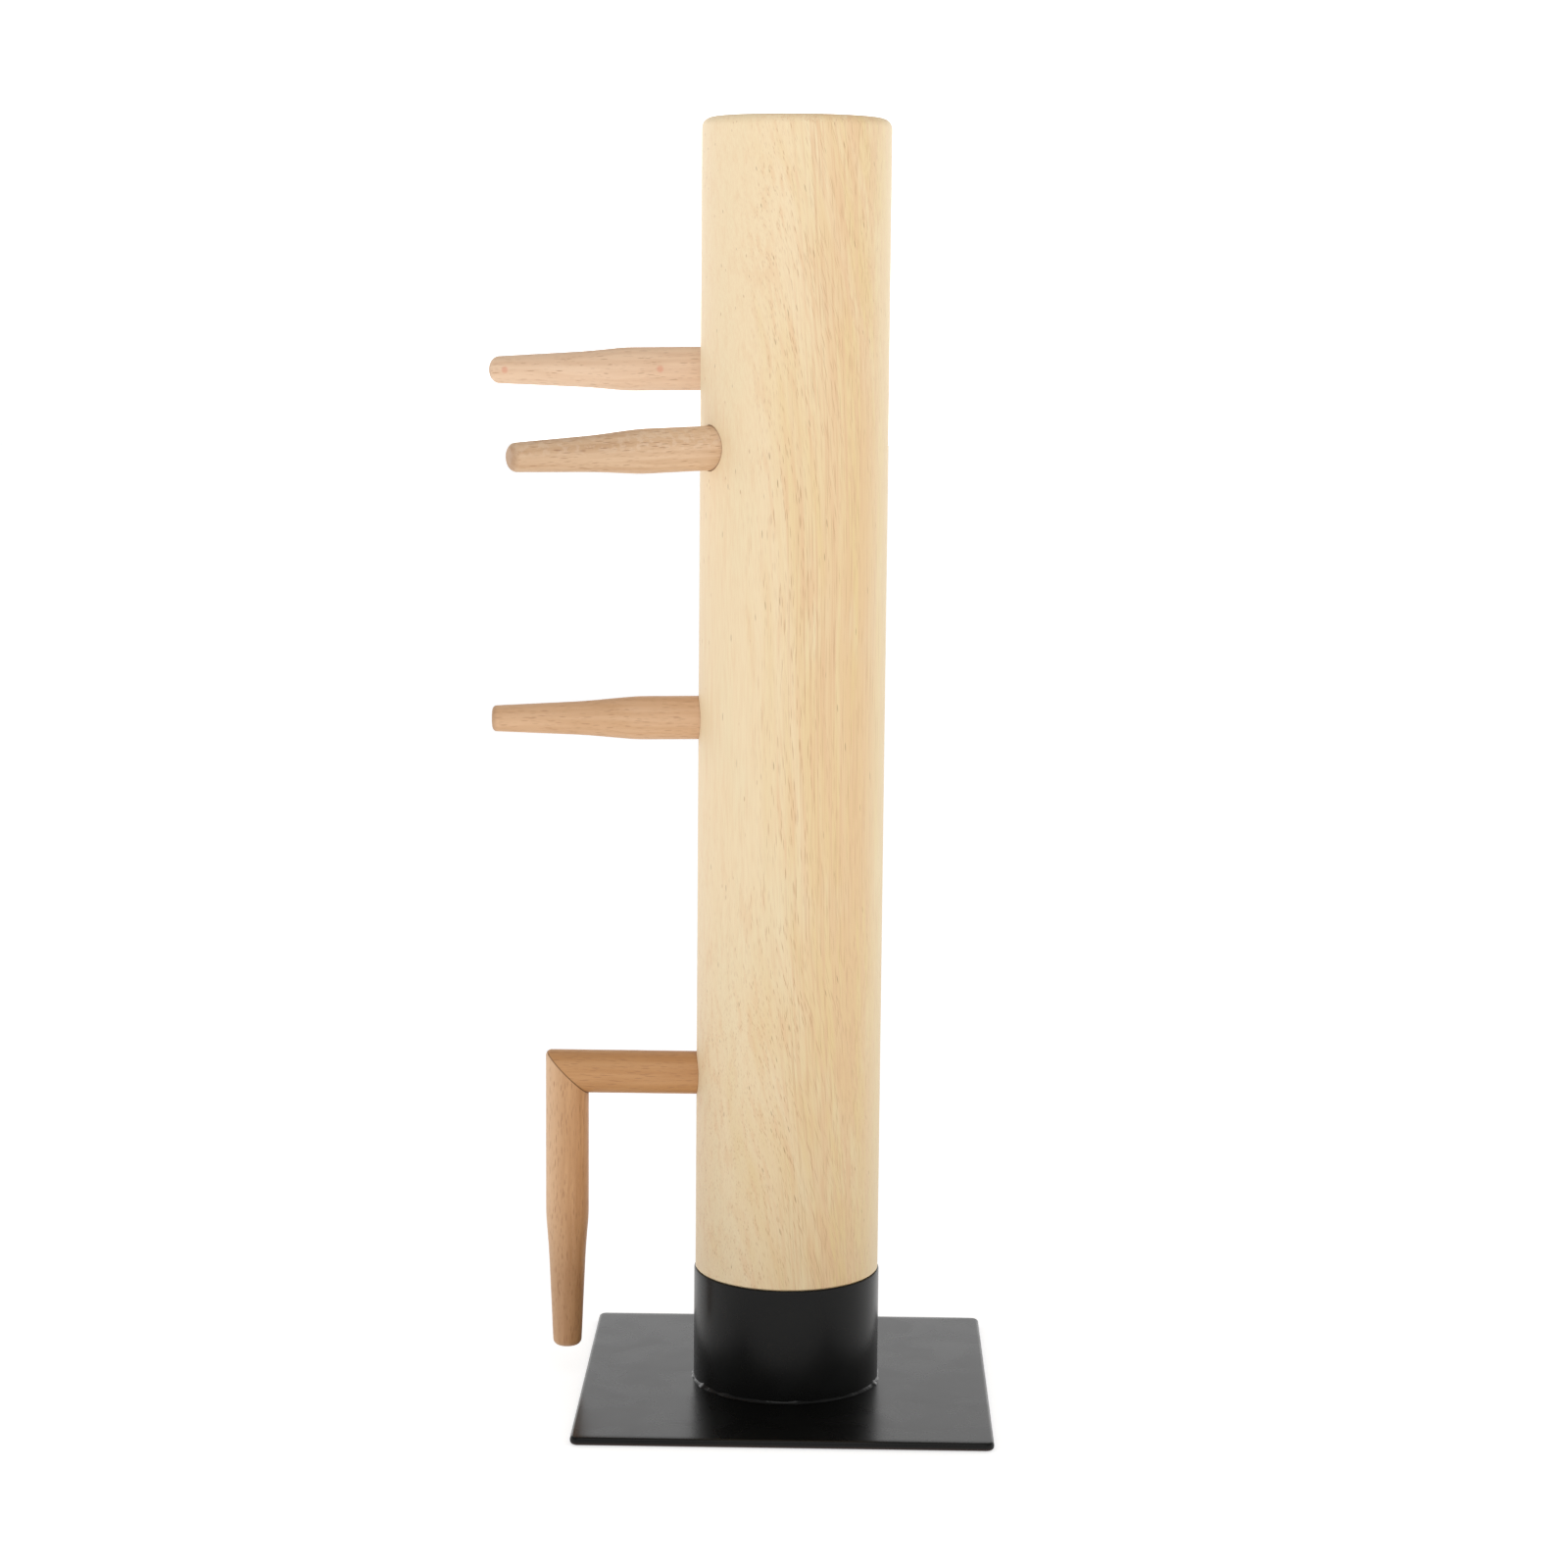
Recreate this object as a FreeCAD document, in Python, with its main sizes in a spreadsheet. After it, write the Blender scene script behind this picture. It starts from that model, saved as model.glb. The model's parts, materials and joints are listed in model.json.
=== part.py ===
import FreeCAD, Part

import math
import os

import Sketcher

# A small wooden training post whose arms work as mug pegs. A turned wooden column stands in a steel
# collar welded to a square steel plate. Three turned arms and one leg plug into bores in its front.
#
# Frame, in millimetres: the origin is the centre of the plate's underside, +Z is up the column, and
# the front, where the arms and the leg point, is -X. +Y is on the left of someone who faces the front.

Z_AXIS = FreeCAD.Vector(0, 0, 1)
FULL_TURN = 360.0

# Driving dimensions: alias, value in millimetres or degrees, meaning.
DIMENSIONS = [
    ("plate_side", 100.0, "side of the square steel plate"),
    ("plate_thickness", 2.0, "thickness of the plate"),
    ("plate_corner", 2.0, "corner radius of the plate in plan"),
    ("plate_edge", 0.8, "rounding of the plate's upper and lower edges"),
    ("total_height", 310.0, "underside of the plate to the top of the column"),
    ("collar_radius", 22.9, "outside radius of the collar tube"),
    ("collar_wall", 1.5, "wall of the collar tube"),
    ("collar_rim", 30.0, "height of the collar's rim above the underside of the plate"),
    ("collar_edge", 0.3, "rounding of the collar's outer rim"),
    ("weld_leg", 1.2, "leg of the fillet weld round the foot of the collar"),
    ("column_radius", 22.6, "radius of the wooden column"),
    ("column_round", 2.5, "rounding of the column's top edge"),
    ("column_chamfer", 0.4, "chamfer of the column's shoulder, which sits on the collar's rim"),
    ("spigot_gap", 0.05, "radial gap between the column's spigot and the collar"),
    ("limb_radius", 5.3, "radius of the arms and of the leg"),
    ("bore_gap", 0.05, "radial running clearance of a tenon in its bore"),
    ("bore_bottom", 5.0, "distance of a bore's bottom from the column's axis"),
    ("tenon_start", 5.5, "distance of a tenon's end from the column's axis"),
    ("tenon_chamfer", 0.6, "chamfer of a tenon's end"),
    ("shoulder_bend", 46.0, "radius of the bend from an arm's cylinder into its shoulder"),
    ("shoulder_angle", 5.0, "half angle of an arm's shoulder"),
    ("waist_bend", 140.0, "radius of the bend from an arm's shoulder into its taper"),
    ("taper_angle", 2.55, "half angle of an arm's taper"),
    ("left_height", 251.3, "left upper arm: height where its axis meets the column's axis"),
    ("left_turn", -18.0, "left upper arm: turn from the front, towards the right"),
    ("left_dip", 1.1, "left upper arm: dip below level"),
    ("left_reach", 79.2, "left upper arm: column axis to tip"),
    ("left_shoulder", 41.7, "left upper arm: column axis to the start of the shoulder"),
    ("left_waist", 50.7, "left upper arm: column axis to the end of the shoulder"),
    ("left_round", 2.3, "left upper arm: rounding of the tip"),
    ("right_height", 233.2, "right upper arm: height where its axis meets the column's axis"),
    ("right_turn", 28.0, "right upper arm: turn from the front, towards the right"),
    ("right_dip", 1.9, "right upper arm: dip below level"),
    ("right_reach", 73.9, "right upper arm: column axis to tip"),
    ("right_shoulder", 38.9, "right upper arm: column axis to the start of the shoulder"),
    ("right_waist", 48.9, "right upper arm: column axis to the end of the shoulder"),
    ("right_round", 2.1, "right upper arm: rounding of the tip"),
    ("middle_height", 167.2, "middle arm: height where its axis meets the column's axis"),
    ("middle_turn", 0.0, "middle arm: turn from the front, towards the right"),
    ("middle_dip", 0.9, "middle arm: dip below level"),
    ("middle_reach", 72.7, "middle arm: column axis to tip"),
    ("middle_shoulder", 35.4, "middle arm: column axis to the start of the shoulder"),
    ("middle_waist", 47.9, "middle arm: column axis to the end of the shoulder"),
    ("middle_round", 1.0, "middle arm: rounding of the tip"),
    ("leg_height", 78.7, "height of the leg's level part"),
    ("leg_reach", 54.5, "column axis to the axis of the leg's hanging part"),
    ("leg_tip", 9.0, "height of the leg's tip"),
    ("leg_shoulder", 44.0, "height where the leg's hanging part starts to narrow"),
    ("leg_waist", 37.4, "height where its shoulder ends"),
    ("leg_round", 1.6, "rounding of the leg's tip"),
    ("mitre_dowel_radius", 1.5, "radius of the hidden dowel across the mitre"),
    ("dowel_length", 9.0, "length of the hidden dowel"),
    ("dowel_gap", 0.02, "gap round and beyond the hidden dowel"),
    ("screw_offset", 10.0, "distance of each screw from the column's axis, along X"),
    ("screw_radius", 1.75, "radius of the screw's shank"),
    ("screw_head_radius", 3.5, "radius of the screw's countersunk head"),
    ("screw_head_height", 1.6, "height of the countersunk head"),
    ("screw_sink", 0.1, "recess of the head below the plate's underside"),
    ("screw_length", 30.0, "length of the screw, head included"),
    ("screw_point", 4.0, "length of the screw's point"),
    ("screw_gap", 0.05, "gap round the screw"),
    ("recess_half_length", 1.6, "half length of the arms of the screw's cross recess"),
    ("recess_half_width", 0.45, "half width of the arms of the cross recess"),
    ("recess_depth", 1.1, "depth of the cross recess"),
]

# Arms: the prefix of their dimensions and their label. Screws: side along X and label.
ARMS = [("left", "left_upper_arm"), ("right", "right_upper_arm"), ("middle", "middle_arm")]
SCREWS = [(-1, "front_column_screw"), (1, "rear_column_screw")]


class Size:
    """A dimension: its number, for a sketch's first shape, and the expression that drives it."""

    def __init__(self, value, text):
        self.value = value
        self.text = text

    @staticmethod
    def of(other):
        return other if isinstance(other, Size) else Size(float(other), str(other))

    def join(self, other, sign, value):
        return Size(value, "(%s %s %s)" % (self.text, sign, Size.of(other).text))

    def __add__(self, other):
        return self.join(other, "+", self.value + Size.of(other).value)

    def __sub__(self, other):
        return self.join(other, "-", self.value - Size.of(other).value)

    def __mul__(self, other):
        return self.join(other, "*", self.value * Size.of(other).value)

    def __neg__(self):
        return self * -1


def fill_sheet(doc):
    """Write the driving dimensions to the spreadsheet, and return them by alias."""
    sheet = doc.addObject("Spreadsheet::Sheet", "Sizes")
    sizes = {}
    for row, (alias, value, meaning) in enumerate(DIMENSIONS, start=1):
        sheet.set("A%d" % row, meaning)
        sheet.set("B%d" % row, str(value))
        sheet.setAlias("B%d" % row, alias)
        sizes[alias] = Size(value, "Sizes." + alias)
    doc.recompute()
    return sizes


def new_body(doc, label):
    body = doc.addObject("PartDesign::Body", label)
    body.Label = label
    return body


def new_sketch(body, name, role="XZ_Plane"):
    """An empty sketch on one of the body's own origin planes."""
    plane = next(feature for feature in body.Origin.OriginFeatures if feature.Role == role)
    sketch = body.newObject("Sketcher::SketchObject", name)
    sketch.AttachmentSupport = (plane, [""])
    sketch.MapMode = "FlatFace"
    return sketch


def drive(sketch, name, size, kind, *where):
    """Add a constraint whose value follows the spreadsheet."""
    index = sketch.addConstraint(Sketcher.Constraint(kind, *where, size.value))
    sketch.renameConstraint(index, name)
    sketch.setExpression("Constraints." + name, size.text)


def place_point(sketch, geometry, end, x, y, name):
    """Hold one end of a line at x, y. A coordinate of 0 puts it on the axis."""
    for letter, size, axis in (("x", x, -2), ("y", y, -1)):
        if Size.of(size).value == 0:
            sketch.addConstraint(Sketcher.Constraint("PointOnObject", geometry, end, axis))
        else:
            drive(sketch, name + letter, Size.of(size), "Distance" + letter.upper(), -1, 1, geometry, end)


def draw_outline(sketch, points):
    """A closed outline of straight lines through the points, each point driven by the spreadsheet."""
    corners = [FreeCAD.Vector(Size.of(x).value, Size.of(y).value, 0) for x, y in points]
    count = len(points)
    lines = [
        sketch.addGeometry(Part.LineSegment(corners[i], corners[(i + 1) % count])) for i in range(count)
    ]
    for i in range(count):
        following = lines[(i + 1) % count]
        sketch.addConstraint(Sketcher.Constraint("Coincident", lines[i], 2, following, 1))
        place_point(sketch, lines[i], 1, points[i][0], points[i][1], "p%d" % i)


def draw_circle(sketch, radius):
    circle = sketch.addGeometry(Part.Circle(FreeCAD.Vector(0, 0, 0), Z_AXIS, radius.value))
    sketch.addConstraint(Sketcher.Constraint("Coincident", circle, 3, -1, 1))
    drive(sketch, "radius%d" % circle, radius, "Radius", circle)


def revolve(body, sketch, kind="Revolution"):
    """Turn the sketch about its own vertical axis; kind is Revolution, or Groove to cut."""
    feature = body.newObject("PartDesign::" + kind, sketch.Name + kind)
    feature.Profile = sketch
    feature.ReferenceAxis = (sketch, ["V_Axis"])
    feature.Angle = FULL_TURN
    return feature


def bore(body, name, placement, start, length, radius, end_radius=None):
    """Cut a round hole from start along the placement's own +Z; with an end radius it is a cone."""
    plane = next(feature for feature in body.Origin.OriginFeatures if feature.Role == "XY_Plane")
    kind = "Cylinder" if end_radius is None else "Cone"
    tool = body.newObject("PartDesign::Subtractive" + kind, name)
    tool.AttachmentSupport = (plane, [""])
    tool.MapMode = "FlatFace"
    tool.setExpression("Height", length.text)
    if end_radius is None:
        tool.setExpression("Radius", radius.text)
    else:
        tool.setExpression("Radius1", radius.text)
        tool.setExpression("Radius2", end_radius.text)
    tool.setExpression("AttachmentOffset", "%s * placement(vector(0; 0; %s); rotation(0; 0; 0))"
                       % (placement, Size.of(start).text))
    return tool


def round_edges(body, name, base, picks, radius, kind="Fillet"):
    """Fillet or chamfer the edges of base that picks accepts."""
    edges = ["Edge%d" % number for number, edge in enumerate(base.Shape.Edges, start=1) if picks(edge)]
    feature = body.newObject("PartDesign::" + kind, name)
    feature.Base = (base, edges)
    feature.setExpression("Radius" if kind == "Fillet" else "Size", radius.text)
    return feature


def circle_at(height, radius):
    """Accept the circular edges of that radius at that height above the body's XY plane."""
    def picks(edge):
        curve = edge.Curve
        return (
            isinstance(curve, Part.Circle)
            and math.isclose(curve.Radius, radius, abs_tol=1e-4)
            and math.isclose(curve.Center.z, height, abs_tol=1e-4)
        )
    return picks


def arm_placement(height, turn, dip):
    """Expression for a frame on the column's axis whose +Z runs out along an arm."""
    return "placement(vector(0; 0; %s); rotation(%s; -90 - %s; 0))" % (
        Size.of(height).text, Size.of(turn).text, Size.of(dip).text)


def draw_turned_limb(sketch, size, first, reach, shoulder, waist, tip_round):
    """Half outline of a turned limb, along the sketch's vertical axis from first to reach: a cylinder,
    a shoulder, a long taper and a rounded tip, each running smoothly into the next."""
    radius = size["limb_radius"]
    steep = math.radians(size["shoulder_angle"].value)
    gentle = math.radians(size["taper_angle"].value)
    bend = size["shoulder_bend"].value
    hollow = size["waist_bend"].value
    tip = tip_round.value

    def point(x, y):
        return FreeCAD.Vector(x, y, 0)

    def arc(centre, arc_radius, start, end):
        return Part.ArcOfCircle(Part.Circle(centre, Z_AXIS, arc_radius), start, end)

    start_bend = point(radius.value, shoulder.value)
    bend_centre = point(radius.value - bend, shoulder.value)
    end_bend = bend_centre + point(bend * math.cos(steep), bend * math.sin(steep))
    start_hollow = point(end_bend.x - (waist.value - end_bend.y) * math.tan(steep), waist.value)
    hollow_centre = start_hollow + point(hollow * math.cos(steep), hollow * math.sin(steep))
    end_hollow = hollow_centre - point(hollow * math.cos(gentle), hollow * math.sin(gentle))
    start_tip_y = reach.value - tip * (1 - math.sin(gentle))
    start_tip = point(end_hollow.x - (start_tip_y - end_hollow.y) * math.tan(gentle), start_tip_y)
    tip_centre = start_tip - point(tip * math.cos(gentle), tip * math.sin(gentle))

    foot = point(0, first.value)
    rim = point(radius.value, first.value)
    crown = point(tip_centre.x, reach.value)
    end = point(0, reach.value)
    half_turn = math.pi
    shapes = [
        Part.LineSegment(foot, rim),
        Part.LineSegment(rim, start_bend),
        arc(bend_centre, bend, 0, steep),
        Part.LineSegment(end_bend, start_hollow),
        arc(hollow_centre, hollow, half_turn + gentle, half_turn + steep),
        Part.LineSegment(end_hollow, start_tip),
        arc(tip_centre, tip, gentle, math.pi / 2),
        Part.LineSegment(crown, end),
        Part.LineSegment(end, foot),
    ]
    base, side, bend_arc, cone, hollow_arc, taper, tip_arc, crown_line, axis = [
        sketch.addGeometry(shape) for shape in shapes
    ]
    # The hollow's arc runs anticlockwise, so it meets the cone at its second end.
    joins = [
        ("Coincident", base, 2, side, 1),
        ("Tangent", side, 2, bend_arc, 1),
        ("Tangent", bend_arc, 2, cone, 1),
        ("Tangent", cone, 2, hollow_arc, 2),
        ("Tangent", hollow_arc, 1, taper, 1),
        ("Tangent", taper, 2, tip_arc, 1),
        ("Tangent", tip_arc, 2, crown_line, 1),
        ("Coincident", crown_line, 2, axis, 1),
        ("Coincident", axis, 2, base, 1),
        ("Horizontal", base),
        ("Vertical", side),
        ("Horizontal", crown_line),
        ("PointOnObject", axis, 1, -2),
        ("PointOnObject", axis, 2, -2),
    ]
    for join in joins:
        sketch.addConstraint(Sketcher.Constraint(*join))
    drive(sketch, "first", first, "DistanceY", -1, 1, axis, 2)
    drive(sketch, "radius", radius, "DistanceX", -1, 1, side, 1)
    drive(sketch, "shoulder", shoulder, "DistanceY", -1, 1, side, 2)
    drive(sketch, "waist", waist, "DistanceY", -1, 1, cone, 2)
    drive(sketch, "reach", reach, "DistanceY", -1, 1, axis, 1)
    drive(sketch, "bend", size["shoulder_bend"], "Radius", bend_arc)
    drive(sketch, "hollow", size["waist_bend"], "Radius", hollow_arc)
    drive(sketch, "tip", tip_round, "Radius", tip_arc)
    for name, line in (("shoulder_angle", cone), ("taper_angle", taper)):
        index = sketch.addConstraint(
            Sketcher.Constraint("Angle", -2, line, math.radians(size[name].value)))
        sketch.renameConstraint(index, name)
        sketch.setExpression("Constraints." + name, "%s * 1 deg" % size[name].text)


def make_base_plate(doc, size, screws):
    """Square plate with rounded corners and edges, countersunk from below for the screws."""
    body = new_body(doc, "base_plate")
    half = size["plate_side"] * 0.5
    outline = new_sketch(body, "PlateOutline", "XY_Plane")
    draw_outline(outline, [(-half, -half), (half, -half), (half, half), (-half, half)])
    pad = body.newObject("PartDesign::Pad", "PlatePad")
    pad.Profile = outline
    pad.setExpression("Length", size["plate_thickness"].text)
    doc.recompute()

    def upright(edge):
        return abs(edge.tangentAt(edge.FirstParameter).z) > 0.99

    corners = round_edges(body, "PlateCorners", pad, upright, size["plate_corner"])
    doc.recompute()
    rims = round_edges(body, "PlateRims", corners, lambda edge: not upright(edge), size["plate_edge"])
    doc.recompute()

    volume = rims.Shape.Volume
    mouth = size["screw_head_radius"] + size["screw_gap"]
    hole = size["screw_radius"] + size["screw_gap"]
    sink = size["screw_sink"]
    for label, placement in screws:
        bore(body, label + "_hole", placement, 0, size["plate_thickness"], hole)
        bore(body, label + "_mouth", placement, 0, sink, mouth)
        seat = bore(body, label + "_seat", placement, sink, size["screw_head_height"], mouth, hole)
    doc.recompute()
    assert seat.Shape.Volume < volume


def make_socket_collar(doc, size):
    """Short steel tube that stands on the plate and takes the column's spigot."""
    body = new_body(doc, "socket_collar")
    ring = new_sketch(body, "CollarRing", "XY_Plane")
    draw_circle(ring, size["collar_radius"])
    draw_circle(ring, size["collar_radius"] - size["collar_wall"])
    pad = body.newObject("PartDesign::Pad", "CollarPad")
    pad.Profile = ring
    pad.setExpression("Length", (size["collar_rim"] - size["plate_thickness"]).text)
    doc.recompute()
    top = size["collar_rim"].value - size["plate_thickness"].value
    round_edges(body, "CollarRim", pad, circle_at(top, size["collar_radius"].value), size["collar_edge"])
    body.setExpression("Placement.Base.z", size["plate_thickness"].text)


def make_weld_bead(doc, size):
    """Fillet weld in the corner between the collar and the plate."""
    body = new_body(doc, "weld_bead")
    section = new_sketch(body, "WeldSection")
    inner = size["collar_radius"]
    foot = size["plate_thickness"]
    leg = size["weld_leg"]
    draw_outline(section, [(inner, foot), (inner + leg, foot), (inner, foot + leg)])
    revolve(body, section)


def make_column(doc, size, limbs, screws):
    """Turned wooden column: a spigot in the collar, a shoulder on its rim, and blind bores."""
    body = new_body(doc, "column")
    spigot = size["collar_radius"] - size["collar_wall"] - size["spigot_gap"]
    outline = new_sketch(body, "ColumnOutline")
    draw_outline(outline, [
        (0, size["plate_thickness"]),
        (spigot, size["plate_thickness"]),
        (spigot, size["collar_rim"]),
        (size["column_radius"], size["collar_rim"]),
        (size["column_radius"], size["total_height"]),
        (0, size["total_height"]),
    ])
    turned = revolve(body, outline)
    doc.recompute()
    radius = size["column_radius"].value
    top = round_edges(body, "ColumnTop", turned, circle_at(size["total_height"].value, radius),
                      size["column_round"])
    doc.recompute()
    shoulder = round_edges(body, "ColumnShoulder", top, circle_at(size["collar_rim"].value, radius),
                           size["column_chamfer"], "Chamfer")
    doc.recompute()
    volume = shoulder.Shape.Volume
    for label, placement in limbs:
        bore(body, label + "_bore", placement, size["bore_bottom"], size["column_radius"],
             size["limb_radius"] + size["bore_gap"])
    for label, placement in screws:
        last = bore(body, label + "_pilot", placement, size["plate_thickness"],
                    size["screw_length"] + size["screw_sink"] + size["screw_gap"] - size["plate_thickness"],
                    size["screw_radius"] + size["screw_gap"])
    doc.recompute()
    assert last.Shape.Volume < volume


def make_column_screw(doc, size, label, placement):
    """Countersunk wood screw that holds the column to the plate from below."""
    body = new_body(doc, label)
    sink = size["screw_sink"]
    outline = new_sketch(body, label + "_outline")
    draw_outline(outline, [
        (0, sink),
        (size["screw_head_radius"], sink),
        (size["screw_radius"], sink + size["screw_head_height"]),
        (size["screw_radius"], sink + size["screw_length"] - size["screw_point"]),
        (0, sink + size["screw_length"]),
    ])
    turned = revolve(body, outline)
    doc.recompute()
    long_half = size["recess_half_length"]
    wide_half = size["recess_half_width"]
    cross = new_sketch(body, label + "_cross", "XY_Plane")
    draw_outline(cross, [
        (long_half, -wide_half), (long_half, wide_half), (wide_half, wide_half),
        (wide_half, long_half), (-wide_half, long_half), (-wide_half, wide_half),
        (-long_half, wide_half), (-long_half, -wide_half), (-wide_half, -wide_half),
        (-wide_half, -long_half), (wide_half, -long_half), (wide_half, -wide_half),
    ])
    recess = body.newObject("PartDesign::Pocket", label + "_recess")
    recess.Profile = cross
    recess.Reversed = True
    recess.setExpression("Length", (sink + size["recess_depth"]).text)
    doc.recompute()
    assert recess.Shape.Volume < turned.Shape.Volume
    body.setExpression("Placement", placement)


def make_arm(doc, size, side, label, placement):
    """One turned arm, its tenon in the column's bore. Its own +Z runs from the column to the tip."""
    body = new_body(doc, label)
    outline = new_sketch(body, label + "_outline")
    draw_turned_limb(outline, size, size["tenon_start"], size[side + "_reach"],
                     size[side + "_shoulder"], size[side + "_waist"], size[side + "_round"])
    turned = revolve(body, outline)
    doc.recompute()
    round_edges(body, label + "_tenon", turned,
                circle_at(size["tenon_start"].value, size["limb_radius"].value),
                size["tenon_chamfer"], "Chamfer")
    body.setExpression("Placement", placement)


def mitre_cut(body, name, corners):
    """Cut the triangle between three corners right through the body, along its own Y."""
    triangle = new_sketch(body, name)
    draw_outline(triangle, corners)
    pocket = body.newObject("PartDesign::Pocket", name + "Pocket")
    pocket.Profile = triangle
    pocket.Type = "ThroughAll"
    pocket.Midplane = True
    return pocket


def bore_for_dowel(body, name, size, placement):
    """Hole for the hidden dowel, centred on the placement's origin."""
    bore(body, name, placement, -size["dowel_length"] * 0.5 - size["dowel_gap"],
         size["dowel_length"] + size["dowel_gap"] * 2, size["mitre_dowel_radius"] + size["dowel_gap"])


def make_leg_thigh(doc, size, placement, dowel):
    """Level part of the leg, mitred at its outer end. Its own +Z runs outwards and its +X up."""
    body = new_body(doc, "leg_thigh")
    radius = size["limb_radius"]
    outer = size["leg_reach"] + radius
    start = size["tenon_start"]
    outline = new_sketch(body, "ThighOutline")
    draw_outline(outline, [(0, start), (radius, start), (radius, outer), (0, outer)])
    turned = revolve(body, outline)
    doc.recompute()
    chamfered = round_edges(body, "ThighTenon", turned, circle_at(start.value, radius.value),
                            size["tenon_chamfer"], "Chamfer")
    doc.recompute()
    inner = size["leg_reach"] - radius
    cut = mitre_cut(body, "ThighMitre", [(radius, outer), (-radius, inner), (-radius, outer)])
    doc.recompute()
    assert cut.Shape.Volume < chamfered.Shape.Volume
    bore_for_dowel(body, "ThighDowelBore", size, dowel)
    body.setExpression("Placement", placement)


def make_leg_shin(doc, size, dowel):
    """Hanging part of the leg, mitred at its top. Its own +Z runs down to the tip and its +X outwards."""
    body = new_body(doc, "leg_shin")
    radius = size["limb_radius"]
    height = size["leg_height"]
    outline = new_sketch(body, "ShinOutline")
    draw_turned_limb(outline, size, -radius, height - size["leg_tip"], height - size["leg_shoulder"],
                     height - size["leg_waist"], size["leg_round"])
    turned = revolve(body, outline)
    doc.recompute()
    cut = mitre_cut(body, "ShinMitre", [(radius, -radius), (-radius, radius), (-radius, -radius)])
    doc.recompute()
    assert cut.Shape.Volume < turned.Shape.Volume
    bore_for_dowel(body, "ShinDowelBore", size, dowel)
    body.setExpression("Placement", "placement(vector(-%s; 0; %s); rotation(0; 180; 0))"
                       % (size["leg_reach"].text, height.text))


def make_mitre_dowel(doc, size):
    """Hidden dowel square across the mitre."""
    body = new_body(doc, "leg_mitre_dowel")
    disc = new_sketch(body, "DowelDisc", "XY_Plane")
    draw_circle(disc, size["mitre_dowel_radius"])
    pad = body.newObject("PartDesign::Pad", "DowelPad")
    pad.Profile = disc
    pad.Midplane = True
    pad.setExpression("Length", size["dowel_length"].text)
    body.setExpression("Placement", "placement(vector(-%s; 0; %s); rotation(0; 45; 0))"
                       % (size["leg_reach"].text, size["leg_height"].text))


def build(doc):
    size = fill_sheet(doc)
    arms = [(side, label, arm_placement(size[side + "_height"], size[side + "_turn"], size[side + "_dip"]))
            for side, label in ARMS]
    leg_frame = arm_placement(size["leg_height"], 0, 0)
    limbs = [(label, placement) for _, label, placement in arms] + [("leg", leg_frame)]
    offset = "placement(vector(%s * %s; 0; 0); rotation(0; 0; 0))"
    screws = [(label, offset % (sign, size["screw_offset"].text)) for sign, label in SCREWS]
    make_base_plate(doc, size, screws)
    make_socket_collar(doc, size)
    make_weld_bead(doc, size)
    make_column(doc, size, limbs, screws)
    for label, placement in screws:
        make_column_screw(doc, size, label, placement)
    for side, label, placement in arms:
        make_arm(doc, size, side, label, placement)
    mitre = "placement(vector(0; 0; %s); rotation(0; %d; 0))"
    make_leg_thigh(doc, size, leg_frame, mitre % (size["leg_reach"].text, -45))
    make_leg_shin(doc, size, mitre % (0, 45))
    make_mitre_dowel(doc, size)
    doc.recompute()


def check(doc):
    """Stop if any object of the document failed, or if a sub-part has no sound shape."""
    for item in doc.Objects:
        if "Invalid" in item.State or "Error" in item.State:
            raise RuntimeError("%s: %s" % (item.Name, item.State))
    bodies = [item for item in doc.Objects if item.TypeId == "PartDesign::Body"]
    for body in bodies:
        if body.Shape.isNull() or not body.Shape.isValid():
            raise RuntimeError("%s has no valid shape" % body.Label)
    return bodies


def export(bodies):
    os.makedirs("parts", exist_ok=True)
    for body in bodies:
        body.Shape.exportStep(os.path.join("parts", body.Label + ".step"))
        box = body.Shape.BoundBox
        print("%-16s %9.1f mm3  x %.2f..%.2f  y %.2f..%.2f  z %.2f..%.2f" % (
            body.Label, body.Shape.Volume, box.XMin, box.XMax, box.YMin, box.YMax, box.ZMin, box.ZMax))


document = FreeCAD.newDocument("training_post")
build(document)
export(check(document))
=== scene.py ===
import json
import math
import random

import bmesh
import bpy
from mathutils import Matrix, Vector, noise


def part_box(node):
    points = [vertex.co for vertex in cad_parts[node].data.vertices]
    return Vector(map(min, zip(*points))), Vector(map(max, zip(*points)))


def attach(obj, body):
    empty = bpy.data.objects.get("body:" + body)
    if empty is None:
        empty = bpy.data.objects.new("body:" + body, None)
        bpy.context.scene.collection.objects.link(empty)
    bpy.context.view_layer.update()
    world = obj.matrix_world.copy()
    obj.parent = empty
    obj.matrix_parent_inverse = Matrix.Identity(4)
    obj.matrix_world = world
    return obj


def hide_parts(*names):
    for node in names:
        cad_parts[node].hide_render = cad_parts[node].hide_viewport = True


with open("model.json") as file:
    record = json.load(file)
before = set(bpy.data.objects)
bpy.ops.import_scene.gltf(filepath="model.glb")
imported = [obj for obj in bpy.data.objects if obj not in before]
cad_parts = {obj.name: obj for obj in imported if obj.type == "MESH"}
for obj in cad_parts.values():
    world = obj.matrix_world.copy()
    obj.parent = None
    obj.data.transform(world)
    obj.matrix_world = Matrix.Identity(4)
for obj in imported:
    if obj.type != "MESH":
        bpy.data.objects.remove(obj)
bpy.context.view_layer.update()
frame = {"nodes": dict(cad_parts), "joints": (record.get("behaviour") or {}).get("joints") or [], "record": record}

# Everything is in metres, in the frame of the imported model: origin at the centre of the plate's
# underside, +Z up the column, and the arms and the leg towards -X.

MM = 0.001
SEGMENTS_COLUMN = 256
SEGMENTS_LIMB = 96
SEGMENTS_SCREW = 48
SMOOTH_ANGLE = math.radians(35)

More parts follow.
